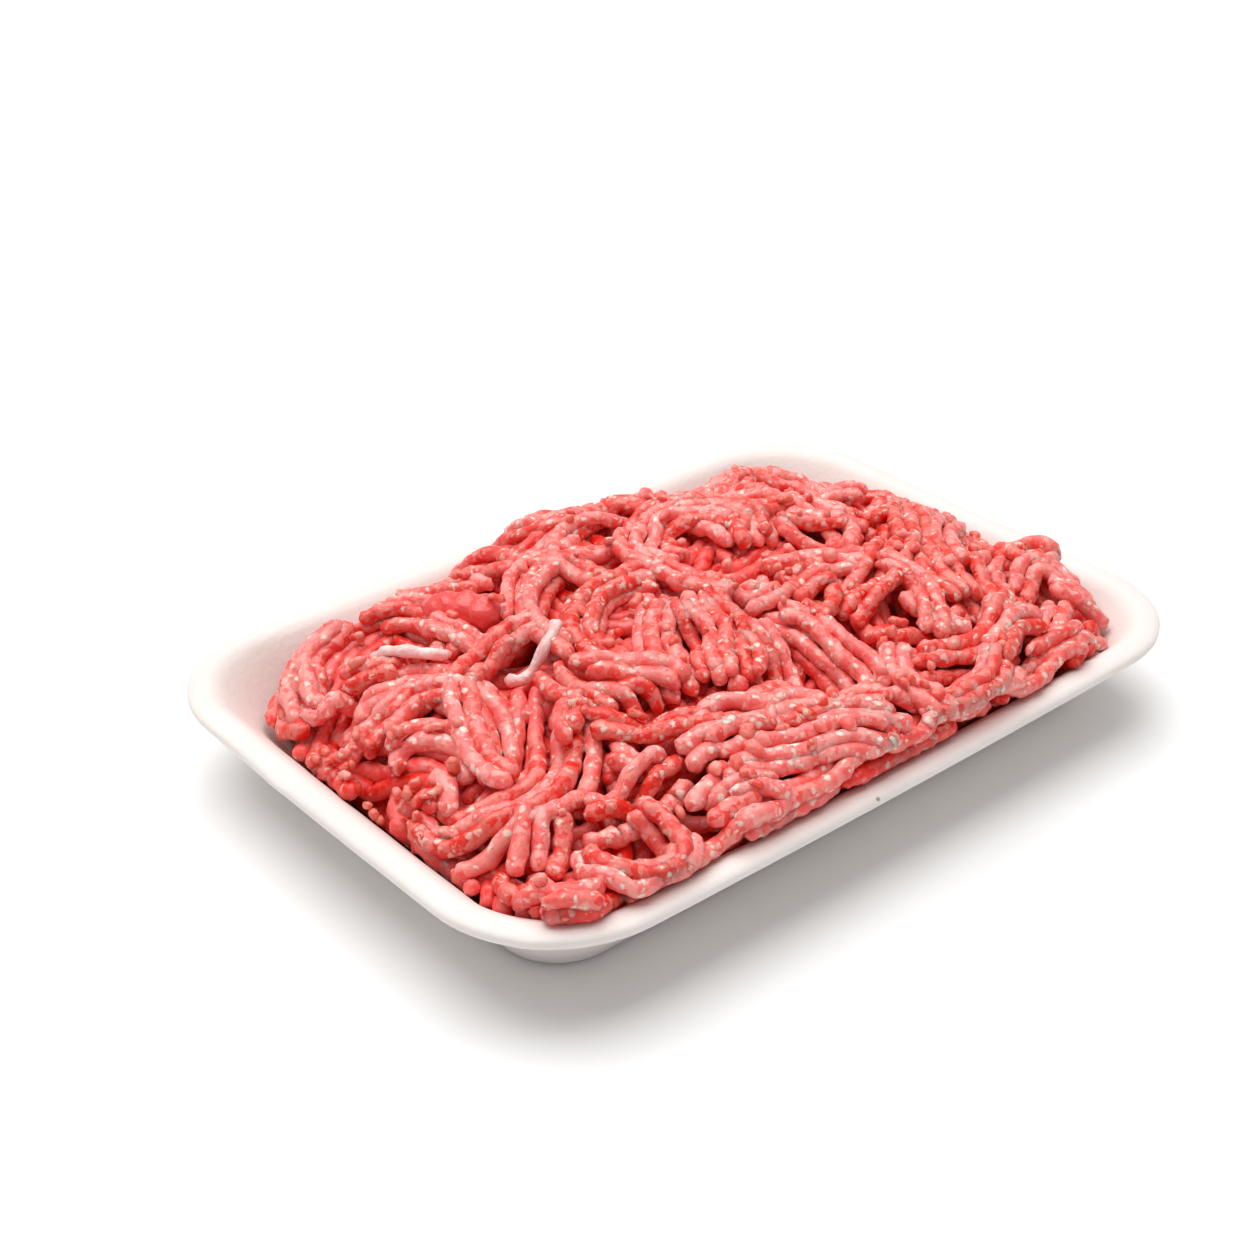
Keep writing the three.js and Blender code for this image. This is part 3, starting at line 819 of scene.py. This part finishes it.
def core_surface():
    """The heap lowered by its strand layers, in rings that shrink to the middle, from where it meets
    the tray."""
    edge = outline(CORE_EDGE_INSET)
    rays = edge * CORE_SHARES
    top = heap_height(rays[..., 0], rays[..., 1]) - CORE_DEPTH
    gap = top - tray_height(rays[..., 0], rays[..., 1]) - CORE_LEAST_GAP
    furthest = np.maximum((gap > 0).cumsum(axis=0).argmax(axis=0), 1)
    reach = CORE_SHARES[:, 0, 0][furthest]
    scale = np.linspace(0, 1, CORE_RINGS + 1)[1:, None] * reach
    plan = edge * scale[..., None]
    z_floor = tray_height(plan[..., 0], plan[..., 1]) + LIP_CLEARANCE
    z_top = np.maximum(heap_height(plan[..., 0], plan[..., 1]) - CORE_DEPTH, z_floor)
    lumps = layered_noise(np.dstack([plan, z_top]), CORE_LUMPS)
    z_top = z_top + lumps * (z_top - z_floor > CORE_LUMPS_FROM)
    return np.dstack([plan, z_top]), np.dstack([plan, z_floor])


def make_core(material):
    """Bottom rings from the middle out, then the top rings back in, closed by a fan at each pole."""
    top, bottom = core_surface()
    rings = np.concatenate([bottom, top[::-1][1:]])
    count, around = rings.shape[:2]
    poles = [[0, 0, float(surface[0, :, 2].mean())] for surface in (bottom, top)]
    points = np.concatenate([rings.reshape(-1, 3), poles])
    print("core", count, "rings of", around, "points")
    return new_piece("mince_core", points, closed_faces(count, around), material)


print("the core's top lies", CORE_DEPTH, "mm under the heap's")

# %% [markdown]
# Meat and foam need finishes that change over the surface at the right scale. A picture wrapped round
# hundreds of strands would stretch and repeat, while noise in the object's own coordinates fits any
# shape. A few helpers keep the node trees short.

# %% Node helpers
BUMP_HEIGHT = 0.0005


def group_with(name, inputs, outputs):
    """An empty shader node group with named sockets: (name, socket type, default) for each input."""
    group = bpy.data.node_groups.new(name, "ShaderNodeTree")
    for title, kind, default in inputs:
        socket = group.interface.new_socket(title, in_out="INPUT", socket_type=kind)
        socket.default_value = default
    for title, kind in outputs:
        group.interface.new_socket(title, in_out="OUTPUT", socket_type=kind)
    return group, group.nodes.new("NodeGroupInput"), group.nodes.new("NodeGroupOutput")


def connect(tree, made, inputs):
    """Links each input of a node that is given as a socket, and sets the others to plain values."""
    for key, value in inputs.items():
        socket = made.inputs[key]
        if isinstance(value, bpy.types.NodeSocket):
            tree.links.new(value, socket)
        else:
            socket.default_value = value


def node(tree, kind, inputs, **settings):
    """A new node with its settings and its inputs."""
    made = tree.nodes.new(kind)
    for key, value in settings.items():
        setattr(made, key, value)
    connect(tree, made, inputs)
    return made


def maths(tree, operation, first, second):
    """The result of one operation on two numbers."""
    return node(tree, "ShaderNodeMath", {0: first, 1: second}, operation=operation).outputs[0]


def stretched(tree, value, given, wanted, kind="LINEAR"):
    """The value moved from the range given to the range wanted, and kept within it."""
    ends = dict(zip(("From Min", "From Max", "To Min", "To Max"), (*given, *wanted)))
    made = node(tree, "ShaderNodeMapRange", {"Value": value, **ends}, interpolation_type=kind)
    return made.outputs[0]


def mixed(tree, factor, low, high):
    """A colour that is low where the factor is 0 and high where it is 1. A Mix node has its colours on
    inputs 6 and 7 and on output 2."""
    return node(tree, "ShaderNodeMix", {"Factor": factor, 6: low, 7: high}, data_type="RGBA").outputs[2]


def bumped(tree, height, strength):
    """A normal tilted as if the surface rose and fell with the height."""
    inputs = {"Height": height, "Strength": strength, "Distance": BUMP_HEIGHT}
    return node(tree, "ShaderNodeBump", inputs).outputs[0]


def new_material(name):
    """A material, its node tree and its Principled shader."""
    material = bpy.data.materials.new(name)
    material.use_nodes = True
    return material, material.node_tree, material.node_tree.nodes["Principled BSDF"]


print(len(bpy.data.materials), "materials so far")

# %% [markdown]
# Close up, minced meat is a mosaic: bits of lean, paler bits, and cream flecks of fat with soft edges. A
# painted mask could show them, but a cell pattern gives each bit a random colour for free, which says
# where a fleck lies, how wide it is and how rich. Several materials use it, so it is a node group.

# %% The marbling group
PATCHES_PER_METRE = 330.0
GRAINS_PER_METRE = 1100.0
CELL_SHIFT = 0.003
# A fleck's widest and narrowest size in cells, its solid middle, and how rich it is by its cell's shade.
FLECK_SIZES = (0.8, 0.2)
FLECK_CORE = 0.4
FLECK_RICHNESS = (0.3, 1)
SHADES = (0.1, 0.9)
# The sum of cell shade and noise at which flesh starts to be pale, and is wholly pale.
PALE_FROM = (0.6, 1.4)


def marbling_group():
    """Lean, pale and fatty bits of meat. Noise sorts the flesh into lean and pale; in some cells of a
    finer pattern a soft round fleck of fat lies at the cell's middle, wider or narrower by the cell's
    own shade."""
    group, given, result = group_with(
        "marbling",
        [
            ("Lean", "NodeSocketColor", (0.6, 0.05, 0.04, 1)),
            ("Pale", "NodeSocketColor", (0.8, 0.25, 0.2, 1)),
            ("Fat", "NodeSocketColor", (0.9, 0.7, 0.6, 1)),
            ("Fat Share", "NodeSocketFloat", 0.3),
            ("Cells per Metre", "NodeSocketFloat", 480.0),
        ],
        [("Color", "NodeSocketColor"), ("Height", "NodeSocketFloat")],
    )
    place = node(group, "ShaderNodeTexCoord", {}).outputs["Object"]
    noise = {"Vector": place, "Scale": PATCHES_PER_METRE, "Detail": 3.0, "Roughness": 0.6}
    patches = node(group, "ShaderNodeTexNoise", noise)
    shift = {0: patches.outputs["Color"], "Scale": CELL_SHIFT}
    shift = node(group, "ShaderNodeVectorMath", shift, operation="SCALE")
    bent = node(group, "ShaderNodeVectorMath", {0: place, 1: shift.outputs[0]}, operation="ADD")
    pattern = {"Vector": bent.outputs[0], "Scale": given.outputs["Cells per Metre"]}
    cells = node(group, "ShaderNodeTexVoronoi", pattern, feature="F1")
    shade = node(group, "ShaderNodeSeparateColor", {"Color": cells.outputs["Color"]})
    red, green, blue = (shade.outputs[name] for name in ("Red", "Green", "Blue"))
    fat_share = given.outputs["Fat Share"]
    size = stretched(group, red, (0, fat_share), FLECK_SIZES)
    core = maths(group, "MULTIPLY", size, FLECK_CORE)
    fleck = stretched(group, cells.outputs["Distance"], (core, size), (1, 0), "SMOOTHSTEP")
    fleck = maths(group, "MULTIPLY", fleck, maths(group, "LESS_THAN", red, fat_share))
    fat = maths(group, "MULTIPLY", fleck, stretched(group, blue, SHADES, FLECK_RICHNESS))
    grain = maths(group, "ADD", green, patches.outputs["Fac"])
    pale = stretched(group, grain, PALE_FROM, (0, 1), "SMOOTHSTEP")
    flesh = mixed(group, pale, given.outputs["Lean"], given.outputs["Pale"])
    whole = mixed(group, fat, flesh, given.outputs["Fat"])
    fine = node(group, "ShaderNodeTexNoise", {"Vector": place, "Scale": GRAINS_PER_METRE, "Detail": 2.0})
    height = maths(group, "ADD", fat, fine.outputs["Fac"])
    connect(group, result, {"Color": whole, "Height": height})
    return group


MARBLING = marbling_group()
print("marbling group with", len(MARBLING.nodes), "nodes")

# %% [markdown]
# Raw meat is wet and lets light in: it is pink at thin edges and shines in small soft spots. A plain red
# would look like plastic, so the marbling lies under a thin coat, with subsurface scattering below it.
# The same finish in other colours does for crumbs, lean and sinew, and in a deeper red paints crevice shade.

# %% Meat materials
SEEP = 0.45
SEEP_DEPTH = 0.0025
# What a strand's tone does to its colour, from the lowest tone to the highest.
BRIGHTNESS = (0.84, 1.08)
FULLNESS = (1.08, 0.9)
# Each meat: colours of its lean, pale and fat bits, share of fat, cells per metre, roughness and seep.
MEATS = {
    "red_meat": ((0.92, 0.07, 0.055), (0.95, 0.265, 0.225), (0.97, 0.72, 0.61), 0.52, 600, 0.42, SEEP),
    # The core's and lowest strands' meat: its deeper, fuller red is painted shade for the crevices.
    "crevice_shade_meat": ((0.92, 0.035, 0.025), (0.94, 0.13, 0.105), (0.95, 0.55, 0.45), 0.35, 560, 0.42, SEEP),
    "crumb_meat": ((0.95, 0.10, 0.075), (0.97, 0.28, 0.22), (0.97, 0.60, 0.48), 0.25, 560, 0.45, 0),
    "lean_lump": ((0.78, 0.022, 0.016), (0.84, 0.045, 0.035), (0.92, 0.35, 0.28), 0.1, 400, 0.3, SEEP),
    "sinew": ((0.94, 0.50, 0.47), (0.96, 0.68, 0.65), (0.98, 0.84, 0.80), 0.5, 560, 0.38, SEEP),
}


def meat_material(name, lean, pale, fat, fat_share, cells, roughness, seep):
    """Moist raw meat: marbling under a wet coat, with light that seeps a little way into the flesh by
    the share seep. Crumbs lie one in another, where seeping light would turn grey, so they have none."""
    material, tree, shader = new_material(name)
    colours = {"Lean": (*lean, 1), "Pale": (*pale, 1), "Fat": (*fat, 1)}
    shares = {"Fat Share": fat_share, "Cells per Metre": cells}
    marbling = node(tree, "ShaderNodeGroup", {**colours, **shares}, node_tree=MARBLING)
    tone = node(tree, "ShaderNodeAttribute", {}, attribute_name="tone").outputs["Fac"]
    tinted = node(
        tree,
        "ShaderNodeHueSaturation",
        {
            "Color": marbling.outputs["Color"],
            "Saturation": stretched(tree, tone, (0, 1), FULLNESS),
            "Value": stretched(tree, tone, (0, 1), BRIGHTNESS),
        },
    )
    connect(tree, shader, {
        "Base Color": tinted.outputs[0],
        "Normal": bumped(tree, marbling.outputs["Height"], 0.5),
        "Roughness": roughness,
        "Subsurface Weight": seep,
        "Subsurface Radius": (1.0, 0.16, 0.11),
        "Subsurface Scale": SEEP_DEPTH,
        "Coat Weight": 0.15,
        "Coat Roughness": 0.3,
    })
    return material


meats = {name: meat_material(name, *looks) for name, looks in MEATS.items()}
print("meats:", ", ".join(meats))

# %% [markdown]
# The tray is expanded polystyrene: small cells under a pressed satin skin, a warm white that glows a
# little where light gets in. A flat white would look like paper, so faint clouds shift the white, tiny
# cells raise the skin, and one dark speck marks the near rim.

# %% Foam material
# The speck's place and its radii, from its dark middle to its edge, are in metres, as materials see them.
SPECK_PLACE = (-0.0124, -0.0728, 0.0225)
SPECK_RADII = (0.0004, 0.0008)
SPECK_COLOUR = (0.28, 0.2, 0.16, 1)
# Cells and clouds per metre.
FOAM_CELLS = 750.0
CLOUDS = 45.0
# Places on the ramp and the whites there.
FOAM_WHITES = [(0.3, (0.80, 0.735, 0.695, 1)), (0.7, (0.85, 0.79, 0.755, 1))]


def foam_material():
    """White polystyrene foam: a satin skin over pressed cells about a millimetre wide, with one dark
    speck on the near rim, drawn where the distance from its place is small."""
    material, tree, shader = new_material("white_foam")
    place = node(tree, "ShaderNodeTexCoord", {}).outputs["Object"]
    cells = node(tree, "ShaderNodeTexVoronoi", {"Vector": place, "Scale": FOAM_CELLS}, feature="F1")
    cloud = node(tree, "ShaderNodeTexNoise", {"Vector": place, "Scale": CLOUDS, "Detail": 4.0})
    whites = node(tree, "ShaderNodeValToRGB", {"Fac": cloud.outputs["Fac"]})
    for stop, (position, colour) in zip(whites.color_ramp.elements, FOAM_WHITES):
        stop.position = position
        stop.color = colour
    away = node(tree, "ShaderNodeVectorMath", {0: place, 1: SPECK_PLACE}, operation="DISTANCE")
    speck = stretched(tree, away.outputs["Value"], SPECK_RADII, (1, 0))
    connect(tree, shader, {
        "Base Color": mixed(tree, speck, whites.outputs["Color"], SPECK_COLOUR),
        "Normal": bumped(tree, cells.outputs["Distance"], 0.12),
        "Roughness": 0.48,
        "Subsurface Weight": 0.25,
        "Subsurface Radius": (1.0, 0.9, 0.85),
        "Subsurface Scale": SEEP_DEPTH,
    })
    return material


WHITE_FOAM = foam_material()
print("foam material", WHITE_FOAM.name)

# %% [markdown]
# Now the meshes are made and tied to the CAD frame: each rides on a body, and the CAD node that it
# replaces is hidden. One mesh for the whole heap would be too heavy to edit, so each kind of strand has
# its own, and the big bundles fill two.

# %% Build and attach the pieces
DEEP_SIDES = 10
CRUMB_SIDES = 8
LUMP_SIDES = 32

foam_tray = make_tray(WHITE_FOAM)
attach(foam_tray, "root")
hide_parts("tray")

half = len(bundle_strands) // 2
mince_pieces = [
    # The core and the lowest strands take the meat whose deeper red is painted crevice shade.
    make_core(meats["crevice_shade_meat"]),
    strands_mesh("under_strands", under_strands, meats["crevice_shade_meat"], DEEP_SIDES),
    strands_mesh("bundle_strands_left", bundle_strands[:half], meats["red_meat"]),
    strands_mesh("bundle_strands_right", bundle_strands[half:], meats["red_meat"]),
    strands_mesh("broken_strands", broken_strands, meats["red_meat"]),
    strands_mesh("crumbs", crumbs, meats["crumb_meat"], CRUMB_SIDES),
    strands_mesh("lean_lump", lump, meats["lean_lump"], LUMP_SIDES),
    strands_mesh("sinews", sinews, meats["sinew"]),
]
for piece in mince_pieces:
    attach(piece, "root")
    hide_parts("mince")
print(1 + len(mince_pieces), "pieces attached")

# %% [markdown]
# The photograph shows the tray on white without a horizon. A flat floor would show its far edge, so this
# one curves up far behind, as in a photographer's studio. It is a stage and no part of the object.

# %% Floor
FLOOR_X = np.linspace(-4000, 4000, 9)
FLOOR_Y = np.linspace(-3000, 6000, 40)
CURVES_FROM = 3000
# The floor's height past that line is the square of the distance over this length.
CURVE_LENGTH = 2200
GAP_UNDER_TRAY = 0.05
FLOOR_COLOUR = (0.93, 0.925, 0.92, 1)


def make_floor():
    """A wide pale floor of quads that rises past a line by the square of the distance from it."""
    x, y = np.meshgrid(FLOOR_X, FLOOR_Y)
    z = np.where(y > CURVES_FROM, (y - CURVES_FROM) ** 2 / CURVE_LENGTH, 0) - GAP_UNDER_TRAY
    columns = len(FLOOR_X)
    i, j = np.meshgrid(np.arange(len(FLOOR_Y) - 1), np.arange(columns - 1), indexing="ij")
    a = (i * columns + j).ravel()
    faces = np.stack([a, a + 1, a + columns + 1, a + columns], 1)
    material, tree, shader = new_material("pale_floor")
    connect(tree, shader, {"Base Color": FLOOR_COLOUR, "Roughness": 0.9})
    floor = new_piece("floor", np.dstack([x, y, z]).reshape(-1, 3), faces, material)


make_floor()
print("floor", len(FLOOR_X), "by", len(FLOOR_Y), "points")

# %% [markdown]
# The light is one very large soft lamp, high and a little behind the tray, so that a pale shadow falls
# towards the camera, and a white world fills it in. A sun would cast a hard edge, and the photo's shadow
# has none.

# %% Light
# The lamp's place and size are in metres.
KEY_PLACE = (0.1, 0.7, 2.6)
KEY_SIZE = 3.0
KEY_POWER = 97
WORLD_STRENGTH = 0.38


def add_area_light(name, place, size, power):
    """A square lamp of this size that faces the tray."""
    lamp = bpy.data.lights.new(name, "AREA")
    lamp.size = size
    lamp.energy = power
    holder = bpy.data.objects.new(name, lamp)
    bpy.context.scene.collection.objects.link(holder)
    holder.location = place
    holder.rotation_euler = (-holder.location).to_track_quat("-Z", "Y").to_euler()


add_area_light("key", KEY_PLACE, KEY_SIZE, KEY_POWER)
world = bpy.data.worlds.new("studio")
world.use_nodes = True
world.node_tree.nodes["Background"].inputs["Color"].default_value = (1, 1, 1, 1)
world.node_tree.nodes["Background"].inputs["Strength"].default_value = WORLD_STRENGTH
bpy.context.scene.world = world
bpy.context.scene.view_settings.view_transform = "Standard"
print("lamps", [lamp.name for lamp in bpy.data.lights])

# %% [markdown]
# The camera's place comes from the photo: the turn, rise, roll, distance and lens that make the tray's
# lip fall on the lip in the photo. A camera placed by eye would make every other comparison vague.

# %% Camera
CAMERA_TURN = math.radians(-40.784)
CAMERA_RISE = math.radians(30.062)
CAMERA_ROLL = math.radians(0.252)
CAMERA_DISTANCE = 467.6
CAMERA_TARGET = np.array([-7.58, 13.57, TRAY_HEIGHT])
FOCAL_PIXELS = 1967.3
PHOTO_PIXELS = 1252
SENSOR_WIDTH = 36
# In metres.
NEAREST_SEEN = 0.01


def make_camera():
    """A camera that looks at a point in the rim's plane from the given turn, rise and distance. Its
    back axis follows from the turn and rise, and its right and up axes are then turned round it by the
    roll."""
    back = np.array([
        math.sin(CAMERA_TURN) * math.cos(CAMERA_RISE),
        -math.cos(CAMERA_TURN) * math.cos(CAMERA_RISE),
        math.sin(CAMERA_RISE),
    ])
    right = np.array([math.cos(CAMERA_TURN), math.sin(CAMERA_TURN), 0])
    up = np.cross(back, right)
    rolled_right = math.cos(CAMERA_ROLL) * right + math.sin(CAMERA_ROLL) * up
    rolled_up = -math.sin(CAMERA_ROLL) * right + math.cos(CAMERA_ROLL) * up
    place = (CAMERA_TARGET + back * CAMERA_DISTANCE) * MM
    lens = bpy.data.cameras.new("camera")
    lens.sensor_width = SENSOR_WIDTH
    lens.lens = SENSOR_WIDTH * FOCAL_PIXELS / PHOTO_PIXELS
    lens.clip_start = NEAREST_SEEN
    camera = bpy.data.objects.new("camera", lens)
    bpy.context.scene.collection.objects.link(camera)
    axes = np.column_stack([rolled_right, rolled_up, back, place])
    camera.matrix_world = Matrix([*axes.tolist(), [0, 0, 0, 1]])
    bpy.context.scene.camera = camera
    return camera


print("lens", round(make_camera().data.lens, 1), "mm")
